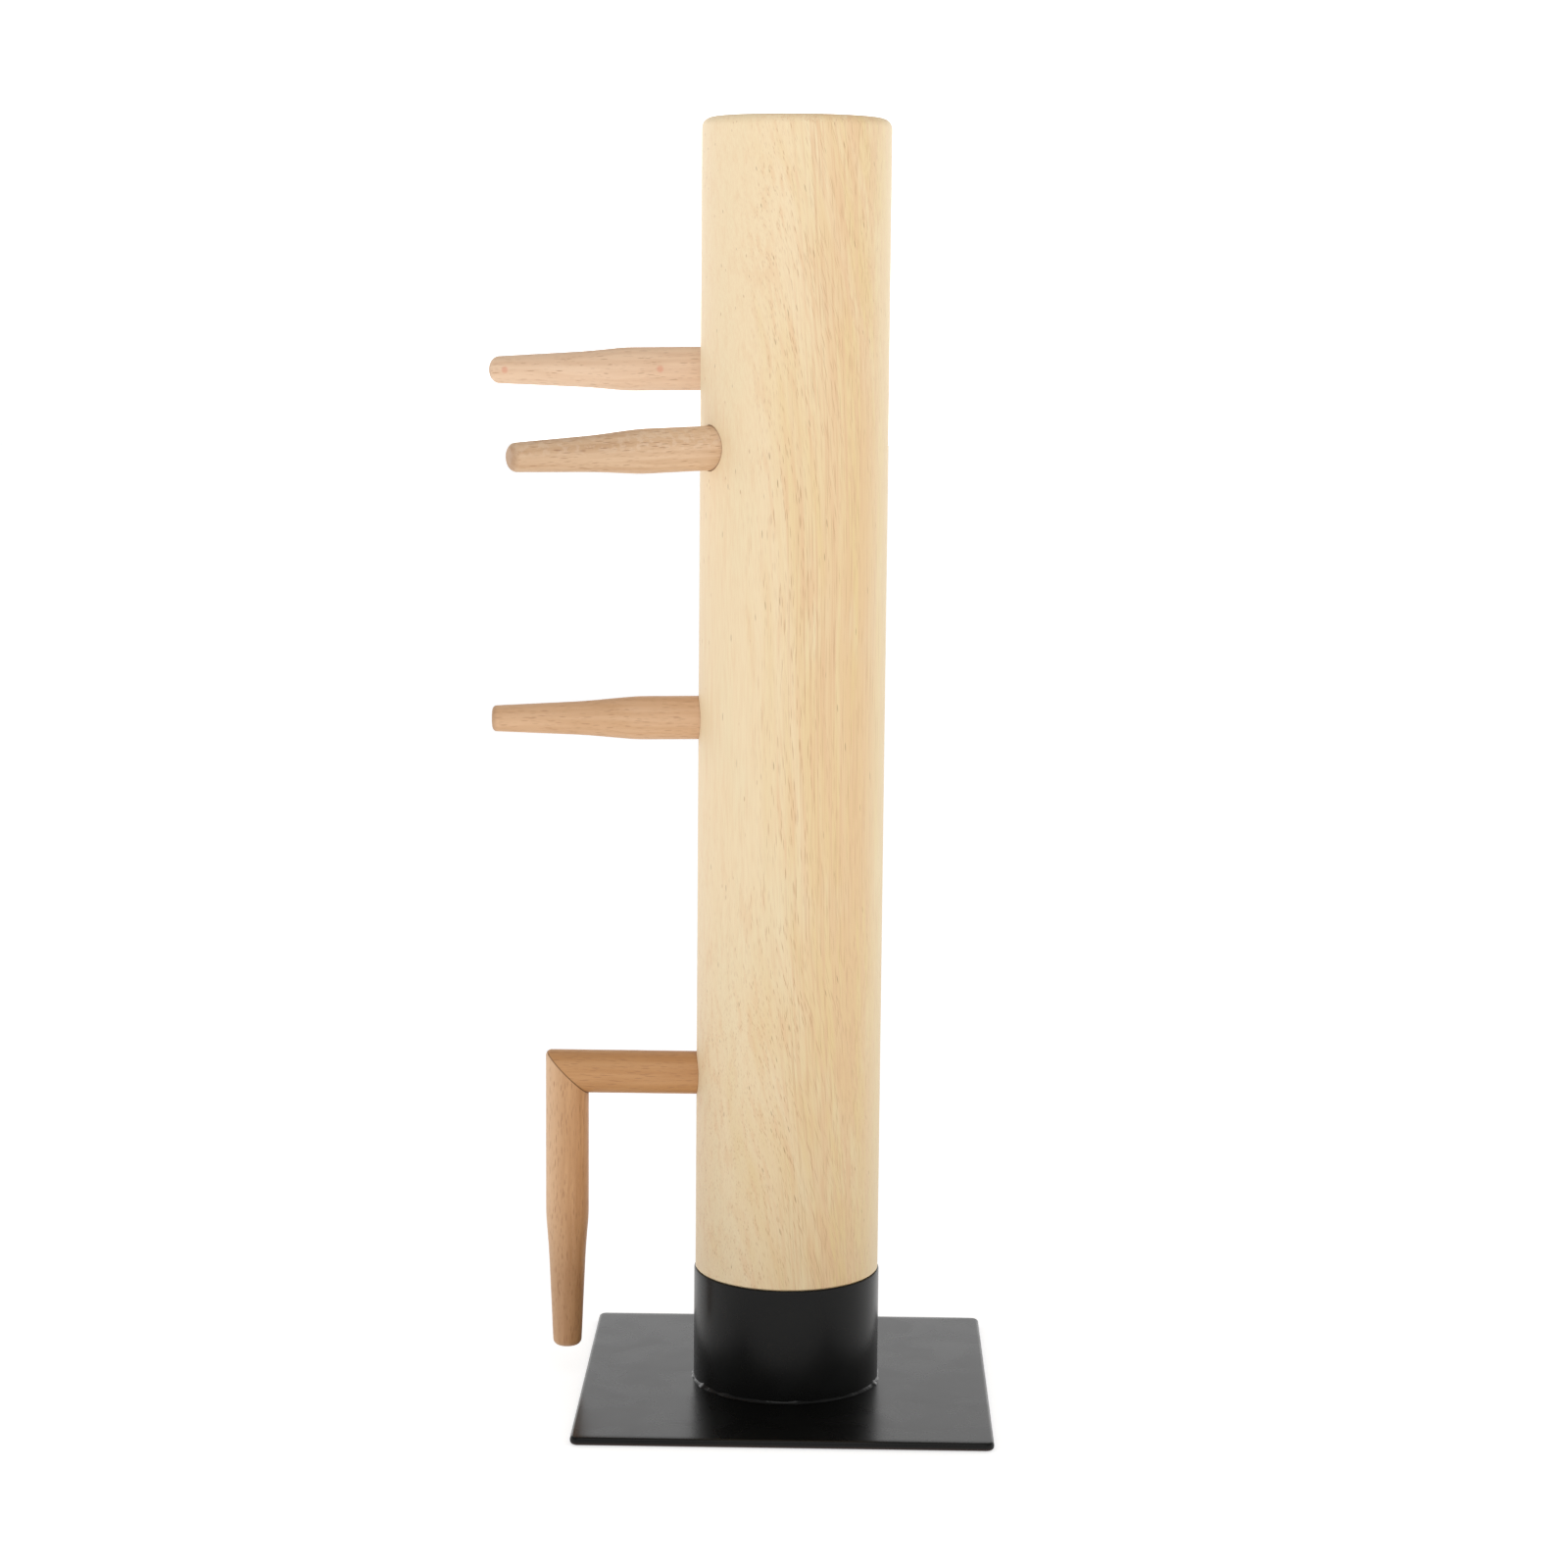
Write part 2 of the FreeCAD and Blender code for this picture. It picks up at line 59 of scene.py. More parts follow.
# The camera that took the photograph: place, turn about Z, tilt below level and roll.
CAMERA_PLACE = Vector((0.01176, -0.80255, 0.26419))
CAMERA_TURN = math.radians(0.961)
CAMERA_TILT = math.radians(8.044)
CAMERA_ROLL = math.radians(0.527)
CAMERA_LENS = 76.44
CAMERA_SENSOR = 36.0

GRAIN = "grain_mm"          # a wooden piece's own coordinates in millimetres, +Z along its grain
FROM_TIP = "from_tip_mm"    # distance from a limb's tip, in millimetres
FROM_SEAM = "from_seam_mm"  # distance from the leg's mitre, in millimetres

joints = {joint["child"]: joint for joint in frame["joints"]}
mounts = {mount["name"]: mount for mount in frame["record"]["mounts"]}


# ---------------------------------------------------------------- node graphs

class Graph:
    """Short names for the shader nodes that the materials are made of."""

    def __init__(self, tree):
        self.tree = tree
        tree.nodes.clear()

    def put(self, socket, value):
        if isinstance(value, bpy.types.NodeSocket):
            self.tree.links.new(value, socket)
        elif value is not None:
            socket.default_value = value

    def node(self, kind, **inputs):
        made = self.tree.nodes.new(kind)
        for name, value in inputs.items():
            self.put(made.inputs[name], value)
        return made

    def attribute(self, name):
        made = self.tree.nodes.new("ShaderNodeAttribute")
        made.attribute_name = name
        return made

    def math(self, operation, first, second=None, third=None):
        made = self.tree.nodes.new("ShaderNodeMath")
        made.operation = operation
        for socket, value in zip(made.inputs, (first, second, third)):
            self.put(socket, value)
        return made.outputs[0]

    def combine(self, x, y, z):
        return self.node("ShaderNodeCombineXYZ", X=x, Y=y, Z=z).outputs[0]

    def separate(self, vector):
        return self.node("ShaderNodeSeparateXYZ", Vector=vector).outputs

    def stretched(self, x, y, z, across, along):
        """Coordinates in which a cell is across wide and along long, both in millimetres."""
        return self.combine(self.math("DIVIDE", x, across), self.math("DIVIDE", y, across),
                            self.math("DIVIDE", z, along))

    def object_mm(self):
        """The place on the object, in millimetres."""
        place = self.node("ShaderNodeTexCoord").outputs["Object"]
        return [self.math("DIVIDE", value, MM) for value in self.separate(place)]

    def noise(self, vector, detail=2.0, distortion=0.0):
        made = self.node("ShaderNodeTexNoise", Vector=vector, Scale=1.0, Detail=detail,
                         Roughness=0.5, Distortion=distortion)
        return made.outputs["Fac"]

    def cells(self, vector):
        """Distance to the nearest scattered cell centre, and that cell's own random number."""
        made = self.node("ShaderNodeTexVoronoi", Vector=vector, Scale=1.0, Randomness=1.0)
        made.distance = "EUCLIDEAN"
        return made.outputs["Distance"], self.separate(made.outputs["Color"])[0]

    def ramp(self, value, low, high, start=0.0, end=1.0):
        """A smooth step of value from start at low to end at high."""
        made = self.node("ShaderNodeMapRange", Value=value)
        made.interpolation_type = "SMOOTHSTEP"
        names = ("From Min", "From Max", "To Min", "To Max")
        for name, number in zip(names, (low, high, start, end)):
            self.put(made.inputs[name], number)
        return made.outputs[0]

    def mix(self, factor, first, second, blend="MIX"):
        made = self.tree.nodes.new("ShaderNodeMix")
        made.data_type = "RGBA"
        made.blend_type = blend
        self.put(made.inputs["Factor"], factor)
        self.put(made.inputs[6], first)
        self.put(made.inputs[7], second)
        return made.outputs[2]

    def scatter(self, x, y, z, across, along, radius, share):
        """Scattered strokes along z, 1 in a stroke and 0 outside. A cell is across wide and along
        long, in millimetres, a stroke's radius is a part of that, and share is the part of the
        cells that hold a stroke."""
        distance, number = self.cells(self.stretched(x, y, z, across, along))
        stroke = self.ramp(distance, radius * 0.45, radius, 1.0, 0.0)
        held = self.ramp(number, share - 0.02, share + 0.02, 1.0, 0.0)
        return self.math("MULTIPLY", stroke, held)


def colour(red, green, blue):
    """A linear colour from sRGB values of 0 to 255."""
    def linear(value):
        value /= 255
        return value / 12.92 if value <= 0.04045 else ((value + 0.055) / 1.055) ** 2.4
    return linear(red), linear(green), linear(blue), 1.0


COLUMN_CREAM = colour(240, 218, 180)
COLUMN_GOLD = colour(232, 204, 150)
COLUMN_PINK = colour(231, 195, 152)
COLUMN_PALE = colour(237, 220, 182)
COLUMN_LINE = colour(226, 188, 146)
COLUMN_PORE = colour(190, 146, 106)
COLUMN_DASH = colour(150, 112, 78)
# Painted shade: a filter that darkens the column towards its foot.
COLUMN_FOOT_SHADE = colour(232, 230, 228)     # a filter, not a paint
BEECH_FLECK = colour(158, 110, 76)
BEECH_END = colour(170, 134, 104)
BEECH_PATCH = colour(236, 212, 186)
BEECH_SPOT = colour(222, 140, 114)
BEECH_SEAM = colour(104, 68, 44)
COAT_DARK = colour(5, 5, 4)
COAT_LIGHT = colour(8, 8, 7)
COAT_LOW_REFLECTION = colour(60, 46, 42)
ZINC_DARK = colour(176, 178, 182)
ZINC_LIGHT = colour(206, 207, 208)

# Scattered pores of the column and flecks of the beech: see Graph.scatter.
COARSE_PORES = dict(across=1.2, along=11.0, radius=0.13, share=0.34)
DOT_PORES = dict(across=0.8, along=3.6, radius=0.22, share=0.09)
FINE_PORES = dict(across=0.29, along=6.5, radius=0.37, share=0.80)
HAIR_PORES = dict(across=0.32, along=22.0, radius=0.38, share=0.6)
FLECKS = dict(across=0.36, along=4.2, radius=0.36)
SMALL_FLECKS = dict(across=0.27, along=2.8, radius=0.38)
MORE_SMALL_FLECKS = 0.12    # how much larger their share is

# The column's grain: its lean, in millimetres across for each one up, and the slow swing on top.
GRAIN_LEAN = 0.145
SWING_WIDTH = 4.6
SWING_LENGTH = 235.0
SWING_START = 290.0

# Bump: how deep it is, in millimetres, and how strong.
COLUMN_RELIEF = 0.05
BEECH_RELIEF = 0.04
COAT_RELIEF = 0.03
WOOD_BUMP = 0.25
COAT_BUMP = 0.05
WOOD_IOR = 1.45
COAT_IOR = 1.3


def new_material(name):
    material = bpy.data.materials.new(name)
    material.use_nodes = True
    graph = Graph(material.node_tree)
    shader = graph.node("ShaderNodeBsdfPrincipled")
    output = graph.node("ShaderNodeOutputMaterial")
    graph.put(output.inputs["Surface"], shader.outputs[0])
    return material, graph, shader


def add_relief(graph, shader, height, strength, depth, ior):
    """Bump from a height of 0 to 1 that stands for depth millimetres, and the gloss's IOR."""
    bump = graph.node("ShaderNodeBump", Strength=strength, Distance=depth * MM, Height=height)
    graph.put(shader.inputs["Normal"], bump.outputs[0])
    shader.inputs["IOR"].default_value = ior


# ---------------------------------------------------------------- materials

def column_wood():
    """Pale rubberwood: cream running to gold, faint pink streaks, and open pores. They slant where
    the grain leaves the surface, and run straight where it lies in it, on the right."""
    material, graph, shader = new_material("column_wood")
    x, y, z = graph.separate(graph.attribute(GRAIN).outputs["Vector"])
    lean = graph.math("MULTIPLY", z, GRAIN_LEAN)
    phase = graph.math("MULTIPLY_ADD", z, math.tau / SWING_LENGTH,
                       -math.tau * SWING_START / SWING_LENGTH)
    swing = graph.math("MULTIPLY", graph.math("SINE", phase), SWING_WIDTH)
    wander = graph.noise(graph.stretched(x, y, z, 20.0, 55.0), detail=1.0)
    drift = graph.math("ADD", graph.math("ADD", lean, swing), graph.math("MULTIPLY", wander, 4.0))
    across = graph.math("ADD", x, drift)
    deep = graph.math("MULTIPLY_ADD", drift, 0.35, y)
    straight = graph.math("MULTIPLY_ADD", drift, 0.32, x)

    # How far a place belongs to the middle, the right and the left as the photograph shows them.
    middle = graph.ramp(graph.math("MULTIPLY_ADD", wander, 12.0, x), 0.0, 12.0)
    right = graph.ramp(graph.math("MULTIPLY_ADD", wander, 12.0, x), 8.0, 20.0)
    left = graph.ramp(graph.math("MULTIPLY_ADD", wander, 10.0, x), -9.0, 4.0, 1.0, 0.0)
    left = graph.math("MULTIPLY", left, graph.ramp(z, 70.0, 160.0, 0.35, 1.0))

    bands = graph.noise(graph.stretched(across, deep, z, 4.5, 150.0), detail=2.0)
    streaks = graph.noise(graph.stretched(across, deep, z, 1.3, 26.0), detail=3.0)
    fibre = graph.noise(graph.stretched(across, deep, z, 0.30, 9.0), detail=2.0)
    lines = graph.noise(graph.stretched(straight, y, z, 0.42, 70.0), detail=2.0)
    cloud = graph.noise(graph.stretched(x, y, z, 9.0, 30.0), detail=3.0)

    heart = graph.math("MULTIPLY_ADD", x, 0.018, graph.math("MULTIPLY_ADD", z, -0.0008, bands))
    heart = graph.ramp(heart, 0.12, 0.78)
    tone = graph.mix(heart, COLUMN_CREAM, COLUMN_GOLD)
    pink = graph.math("MULTIPLY", graph.ramp(streaks, 0.48, 0.68, 0.0, 0.60),
                      graph.math("MULTIPLY_ADD", left, -0.6, 1.0))
    tone = graph.mix(pink, tone, COLUMN_PINK)
    tone = graph.mix(graph.ramp(cloud, 0.48, 0.70, 0.0, 0.45), tone, COLUMN_PALE)
    tone = graph.mix(graph.ramp(fibre, 0.35, 0.75, 0.0, 0.25), tone, COLUMN_LINE)
    stripe = graph.noise(graph.stretched(straight, y, z, 2.4, 130.0), detail=1.0)
    stripe = graph.math("MULTIPLY", graph.ramp(stripe, 0.44, 0.58, 0.0, 0.55), right)
    tone = graph.mix(stripe, tone, COLUMN_PINK)
    line = graph.math("MULTIPLY", graph.ramp(lines, 0.50, 0.62, 0.0, 0.55), middle)
    tone = graph.mix(line, tone, COLUMN_LINE)

    crowd = graph.math("MULTIPLY", graph.ramp(streaks, 0.38, 0.60, 0.25, 1.0),
                       graph.math("MULTIPLY_ADD", left, -0.9, 1.0))
    coarse = graph.scatter(across, deep, z, **COARSE_PORES)
    dots = graph.math("MULTIPLY", graph.scatter(across, deep, z, **DOT_PORES), left)
    crowd = graph.math("MULTIPLY", crowd, graph.math("MULTIPLY_ADD", right, -0.55, 1.0))
    fine = graph.math("MULTIPLY", graph.scatter(across, deep, z, **FINE_PORES), crowd)
    hair = graph.math("MULTIPLY", graph.scatter(straight, y, z, **HAIR_PORES), middle)
    both = graph.math("MULTIPLY", graph.math("MAXIMUM", fine, dots), 0.68)
    tone = graph.mix(both, tone, COLUMN_PORE)
    tone = graph.mix(graph.math("MULTIPLY", hair, 0.36), tone, COLUMN_PORE)
    tone = graph.mix(graph.math("MULTIPLY", coarse, 0.55), tone, COLUMN_DASH)
    tone = graph.mix(graph.ramp(x, 16.0, 22.6, 0.0, 0.55), tone, COLUMN_PALE)
    # Painted shade: the column is made darker towards its foot.
    tone = graph.mix(graph.ramp(z, 20.0, 150.0, 0.55, 0.0), tone, COLUMN_FOOT_SHADE, "MULTIPLY")
    graph.put(shader.inputs["Base Color"], tone)

    small = graph.math("MULTIPLY", graph.math("MAXIMUM", fine, hair), 0.6)
    pores = graph.math("MAXIMUM", coarse, small)
    rough = graph.ramp(graph.math("ADD", pores, fibre), 0.3, 1.5, 0.46, 0.66)
    graph.put(shader.inputs["Roughness"], rough)
    height = graph.math("SUBTRACT", graph.math("MULTIPLY", fibre, 0.15), pores)
    add_relief(graph, shader, height, WOOD_BUMP, COLUMN_RELIEF, WOOD_IOR)
    return material


def beech(name, light, dark, mark, share, lit_side=None, darker_tip=None, blotch=0.0, spots=()):
    """Turned beech: two tones in soft growth bands, short dark flecks along the grain, and darker
    end grain. mark is how strong the flecks are and share how many there are, lit_side a paler tone
    painted on the limb's -y side as light falling from that side, darker_tip a filter that darkens
    its last 44 mm, blotch the strength of pale patches on its upper half, and spots the distances
    from its tip of small salmon spots."""
    material, graph, shader = new_material(name)
    own_x, own_y, z = graph.separate(graph.attribute(GRAIN).outputs["Vector"])
    draw = random.Random(name)
    x = graph.math("ADD", own_x, draw.uniform(-200, 200))
    y = graph.math("ADD", own_y, draw.uniform(-200, 200))
    wander = graph.noise(graph.stretched(x, y, z, 9.0, 24.0), detail=1.0)
    wander = graph.math("MULTIPLY", wander, 1.6)
    across = graph.math("ADD", x, graph.math("ADD", wander, graph.math("MULTIPLY", z, 0.03)))
    deep = graph.math("ADD", y, wander)

    bands = graph.noise(graph.stretched(across, deep, z, 1.5, 34.0), detail=3.0)
    fibre = graph.noise(graph.stretched(across, deep, z, 0.22, 9.0), detail=2.0)
    cloud = graph.noise(graph.stretched(x, y, z, 5.0, 12.0), detail=2.0)
    tone = graph.mix(graph.ramp(bands, 0.34, 0.68), light, dark)
    tone = graph.mix(graph.ramp(cloud, 0.45, 0.70, 0.0, 0.4), tone, light)
    tone = graph.mix(graph.ramp(fibre, 0.35, 0.75, 0.0, 0.35), tone, dark)
    # Painted light: the limb's -y side is made paler, as if lit from that side.
    if lit_side:
        tone = graph.mix(graph.ramp(own_y, -5.0, 1.5, 0.8, 0.0), tone, lit_side)
    if blotch:
        patch = graph.noise(graph.stretched(x, y, z, 1.6, 1.6), detail=3.0)
        patch = graph.math("MULTIPLY", graph.ramp(patch, 0.46, 0.60, 0.0, blotch),
                           graph.ramp(own_y, -1.0, 2.0))
        tone = graph.mix(patch, tone, BEECH_PATCH)

    flecks = graph.scatter(across, deep, z, share=share, **FLECKS)
    small = graph.scatter(across, deep, z, share=share + MORE_SMALL_FLECKS, **SMALL_FLECKS)
    tone = graph.mix(graph.math("MULTIPLY", small, 0.40 * mark), tone, BEECH_FLECK)
    tone = graph.mix(graph.math("MULTIPLY", flecks, 0.80 * mark), tone, BEECH_FLECK)

    from_tip = graph.attribute(FROM_TIP).outputs["Fac"]
    for place in spots:
        along = graph.math("SUBTRACT", from_tip, place)
        apart = graph.math("SQRT", graph.math("ADD", graph.math("MULTIPLY", along, along),
                                              graph.math("MULTIPLY", own_y, own_y)))
        spot = graph.math("MULTIPLY", graph.ramp(apart, 0.4, 1.2, 0.48, 0.0),
                          graph.math("GREATER_THAN", own_x, 0.0))
        tone = graph.mix(spot, tone, BEECH_SPOT)
    # A filter that darkens the limb towards its tip; on the shin this is painted shade low on the leg.
    if darker_tip:
        tone = graph.mix(graph.ramp(from_tip, 12.0, 44.0, 1.0, 0.0), tone, darker_tip, "MULTIPLY")
    tone = graph.mix(graph.ramp(from_tip, 0.15, 1.6, 0.55, 0.0), tone, BEECH_END)
    from_seam = graph.attribute(FROM_SEAM).outputs["Fac"]
    tone = graph.mix(graph.ramp(from_seam, 0.06, 0.22, 0.65, 0.0), tone, BEECH_SEAM)
    graph.put(shader.inputs["Base Color"], tone)

    marks = graph.math("MAXIMUM", flecks, graph.math("MULTIPLY", small, 0.4))
    rough = graph.ramp(graph.math("ADD", marks, fibre), 0.3, 1.5, 0.44, 0.62)
    graph.put(shader.inputs["Roughness"], rough)
    height = graph.math("SUBTRACT", graph.math("MULTIPLY", fibre, 0.3), marks)
    add_relief(graph, shader, height, WOOD_BUMP, BEECH_RELIEF, WOOD_IOR)
    return material


def black_coat():
    """Satin black coat on steel: faint orange peel, uneven sheen, a warm painted reflection low on the plate."""
    material, graph, shader = new_material("black_coat")
    x, y, z = graph.object_mm()
    peel = graph.noise(graph.stretched(x, y, z, 1.1, 1.1), detail=2.0)
    smear = graph.noise(graph.stretched(x, y, z, 14.0, 14.0), detail=3.0, distortion=0.6)
    tone = graph.mix(graph.ramp(smear, 0.4, 0.7), COAT_DARK, COAT_LIGHT)
    # Painted reflection: a warm brown tint low on the plate's edge, as of a warm floor reflected there.
    tone = graph.mix(graph.ramp(z, 0.35, 0.95, 0.7, 0.0), tone, COAT_LOW_REFLECTION)
    graph.put(shader.inputs["Base Color"], tone)
    graph.put(shader.inputs["Roughness"], graph.ramp(smear, 0.30, 0.70, 0.25, 0.30))
    add_relief(graph, shader, peel, COAT_BUMP, COAT_RELIEF, COAT_IOR)
    return material


def zinc_steel():
    """Zinc-plated screw steel with fine turning marks."""
    material, graph, shader = new_material("zinc_steel")
    x, y, z = graph.object_mm()
    marks = graph.noise(graph.stretched(x, y, z, 0.6, 0.1), detail=2.0)
    graph.put(shader.inputs["Base Color"], graph.mix(marks, ZINC_DARK, ZINC_LIGHT))
    graph.put(shader.inputs["Roughness"], graph.ramp(marks, 0.3, 0.7, 0.28, 0.42))
    shader.inputs["Metallic"].default_value = 1.0
    return material


def lit_floor():
    """White studio floor that glows a little, so that the object throws almost no shadow on it."""
    material, _, shader = new_material("lit_floor")
    shader.inputs["Base Color"].default_value = (0.7, 0.7, 0.7, 1.0)
    shader.inputs["Roughness"].default_value = 0.9
    shader.inputs["Specular IOR Level"].default_value = 0.0
    shader.inputs["Emission Color"].default_value = (1.0, 1.0, 1.0, 1.0)
    shader.inputs["Emission Strength"].default_value = 0.60
    return material


# ---------------------------------------------------------------- meshes

def axis_frame(origin, axis):
    """Matrix from a limb's own frame, +Z along its axis, to the model's frame."""
    axis = Vector(axis).normalized()
    side = Vector((0, 0, 1)) if abs(axis.z) < 0.9 else Vector((1, 0, 0))
    x_axis = side.cross(axis).normalized()
    y_axis = axis.cross(x_axis)
    turn = Matrix((x_axis, y_axis, axis)).transposed().to_4x4()
    return Matrix.Translation(origin) @ turn


def node_profile(node, placement):
    """A turned CAD node's outline about the axis of placement: (distance along, radius) pairs."""
    to_local = placement.inverted()
    same_point = 0.01 * MM
    found = {}
    for vertex in frame["nodes"][node].data.vertices:
        local = to_local @ vertex.co
        pair = (local.z, math.hypot(local.x, local.y))
        found[tuple(round(value / same_point) for value in pair)] = pair
    return sorted(found.values())


def lathe(rings, segments):
    """A bmesh turned about +Z through (height, radius) rings; a radius of 0 closes an end."""
    mesh = bmesh.new()
    loops = []
    for height, radius in rings:
        if radius == 0:
            loops.append([mesh.verts.new((0, 0, height))] * segments)
            continue
        loops.append([
            mesh.verts.new((radius * math.cos(math.tau * i / segments),
                            radius * math.sin(math.tau * i / segments), height))
            for i in range(segments)
        ])
    for lower, upper in zip(loops, loops[1:]):
        for i in range(segments):
            corners = [lower[i], lower[(i + 1) % segments], upper[(i + 1) % segments], upper[i]]
            mesh.faces.new(list(dict.fromkeys(corners)))
    return mesh


def dense(points, step):
    """The same outline with points no further apart than step."""
    result = [points[0]]
    for (z0, r0), (z1, r1) in zip(points, points[1:]):
        count = max(1, math.ceil(math.hypot(z1 - z0, r1 - r0) / step))
        result += [(z0 + (z1 - z0) * k / count, r0 + (r1 - r0) * k / count)
                   for k in range(1, count + 1)]
    return result


def arc(centre_z, centre_r, radius, start, end, steps):
    """Outline points on an arc; angles in degrees, 0 outwards and 90 along the axis."""
    angles = [math.radians(start + (end - start) * k / steps) for k in range(steps + 1)]
    return [(centre_z + radius * math.sin(angle), centre_r + radius * math.cos(angle))
            for angle in angles]


def finish_piece(mesh, name, material, body, node,
                 placement=Matrix.Identity(4), tip=None, seam=None):
    """Turn a bmesh in its own frame into a piece that stands for a CAD node, with its grain stored.
    tip and seam are where the piece's tip and mitre are along its own +Z."""
    data = bpy.data.meshes.new(name)
    bmesh.ops.recalc_face_normals(mesh, faces=mesh.faces[:])
    mesh.to_mesh(data)
    mesh.free()
    store_grain(data, tip, seam)
    data.transform(placement)
    data.shade_smooth()
    data.set_sharp_from_angle(angle=SMOOTH_ANGLE)
    data.materials.append(material)
    piece = bpy.data.objects.new(name, data)
    bpy.context.scene.collection.objects.link(piece)
    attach(piece, body)
    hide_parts(node)


def store_grain(data, tip, seam):
    """Keep each vertex's own coordinates, and its distances from the piece's tip and its mitre.
    A piece that has no tip or no mitre is far from it."""
    far = 1.0

    def keep(attribute, kind, field, values):
        made = data.attributes.new(attribute, kind, "POINT")
        made.data.foreach_set(field, values)

    points = [v.co for v in data.vertices]
    keep(GRAIN, "FLOAT_VECTOR", "vector", [c for p in points for c in p / MM])
    keep(FROM_TIP, "FLOAT", "value", [((far if tip is None else tip) - p.z) / MM for p in points])
    keep(FROM_SEAM, "FLOAT", "value",
         [far / MM if seam is None else abs(p.z - seam - p.y) / math.sqrt(2) / MM for p in points])


def subtract(mesh, cutters):
    """Cut the cutters, given as bmeshes, out of a bmesh with exact booleans."""
    def as_object(source, name):
        data = bpy.data.meshes.new(name)
        bmesh.ops.recalc_face_normals(source, faces=source.faces[:])
        source.to_mesh(data)
        source.free()
        made = bpy.data.objects.new(name, data)
        bpy.context.scene.collection.objects.link(made)
        return made

    target = as_object(mesh, "cut_target")
    tools = [as_object(cutter, "cut_tool") for cutter in cutters]
    for tool in tools:
        modifier = target.modifiers.new("cut", "BOOLEAN")
        modifier.operation = "DIFFERENCE"
        modifier.solver = "EXACT"
        modifier.object = tool
    bpy.context.view_layer.update()
    depsgraph = bpy.context.evaluated_depsgraph_get()
    cut = bpy.data.meshes.new_from_object(target.evaluated_get(depsgraph), depsgraph=depsgraph)
    result = bmesh.new()
    result.from_mesh(cut)
    bpy.data.meshes.remove(cut)
    for item in [target, *tools]:
        data = item.data
        bpy.data.objects.remove(item)
        bpy.data.meshes.remove(data)
    bmesh.ops.remove_doubles(result, verts=result.verts[:], dist=0.0001 * MM)
    return result


def cylinder(radius, start, end, placement=Matrix.Identity(4), segments=SEGMENTS_LIMB):
    """A closed cylinder along a placement's own +Z."""
    mesh = lathe([(start, 0), (start, radius), (end, radius), (end, 0)], segments)
    bmesh.ops.transform(mesh, matrix=placement, verts=mesh.verts[:])
    return mesh


# ---------------------------------------------------------------- sizes from the frame

COLUMN_LOW, COLUMN_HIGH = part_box("column")
COLLAR_LOW, COLLAR_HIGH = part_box("socket_collar")
PLATE_LOW, PLATE_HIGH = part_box("base_plate")
WELD_LOW, WELD_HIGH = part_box("weld_bead")
LIMB_RADIUS = mounts["middle_peg"]["dims"]["r_mm"] * MM
COLLAR_RADIUS = COLLAR_HIGH.x
COLLAR_BORE = min(radius for _, radius in node_profile("socket_collar", Matrix.Identity(4)))
FIT_GAP = 0.05 * MM         # between a tenon or the spigot and its bore
ARC_STEPS = 8               # in the quarter circles of the plate's edge and the weld

# The column's turned outline.
COLUMN_ROUND = 2.5 * MM
SHOULDER_CHAMFER = 0.4 * MM
CROWN_STEPS = 14
COLUMN_STEP = 1.5 * MM
TOP_STEP = 2.0 * MM
TOP_CENTRE = 0.5 * MM

# Limb bores, along a limb's own axis from the column's: a wider mouth just below the surface.
BORE_START = 5.0 * MM
MOUTH_START = 15.0 * MM
BORE_END = 32.0 * MM
MOUTH_GAP = 0.2 * MM
MOUTH_DEPTH = 1.2 * MM
MOUTH_REACH = 20 * MM       # above and below the axis, more than any mouth

# How far each turned limb's tip is rounded, and the angle of its taper in degrees.
TIP_ROUND = {"left_upper_arm": 2.3 * MM, "right_upper_arm": 2.1 * MM, "middle_arm": 1.0 * MM,
             "leg_shin": 1.6 * MM}
TAPER = 2.55
TIP_STEPS = 16
LIMB_STEP = 0.8 * MM        # between a limb's rings

# Turning marks and unevenness of the limbs: how deep, in millimetres, and how long.
RING_DEPTH, RING_LENGTH = 0.012, 1.6 * MM
LUMP_DEPTH, LUMP_LENGTH = 0.02, 7 * MM

# The leg: its chamfered end in the column, how far from the mitre its rings lean, where the shin's
# leaning rings and its plumb ones begin, and how far beyond a limb's radius its turning does.
LEG_CHAMFER = 0.6 * MM
LEAN_LENGTH = 12 * MM
LEAN_START = 4.0 * MM
PLUMB_START = 12.4 * MM
TURNING_START = 8 * MM
CORNER_ROUND = 1.3 * MM

# The plate's corners, edges and the grid of its top, which is slightly uneven.
PLATE_CORNER = 2.0 * MM
PLATE_EDGE = 0.8 * MM
PLATE_STEP = 1.5 * MM
PLATE_LOOPS = 32
LEAST_EDGE_CORNER = 0.5 * MM
LEAST_TOP_CORNER = 0.3 * MM
UNEVEN = 0.022 * MM
UNEVEN_LENGTH = 17 * MM

# The screws and the holes for them. The cross recess has four arms and narrows as it goes in.
SCREWS = ("front_column_screw", "rear_column_screw")
SHANK = 1.75 * MM
SHANK_HOLE = 1.8 * MM
SEAT = 3.55 * MM
SEAT_START, SEAT_END = 0.1 * MM, 1.7 * MM
HEAD_HEIGHT = 1.6 * MM
HEAD_FLAT, HEAD_RIM = 0.15 * MM, 0.09 * MM      # how far inside the CAD head they end
HEAD_EASE = 0.08 * MM
SCREW_POINT = 4 * MM
RECESS_CORNERS = [(1.6, -0.45), (1.6, 0.45), (0.45, 0.45)]      # a quarter of it, in millimetres
RECESS_DEPTH = 1.1 * MM
RECESS_NARROWING = 0.6

# The collar's eased rim, and the weld: how far it sinks into the steel, its count of ripples and
# the places of its two tacks, in degrees from +X.
RIM_EASE = 0.3 * MM
RIM_EASE_INSIDE = 0.1 * MM
COLLAR_START = 0.5 * MM     # the first of the rings between foot and rim, and their distance
COLLAR_STEP = 1.2 * MM
RIM_STEPS = 6
WELD_SINK = 0.1 * MM
WELD_STEPS = 720
WELD_RIPPLES = 70
WELD_TACKS = (210, 342)
TACK_WIDTH = 1.1 * MM

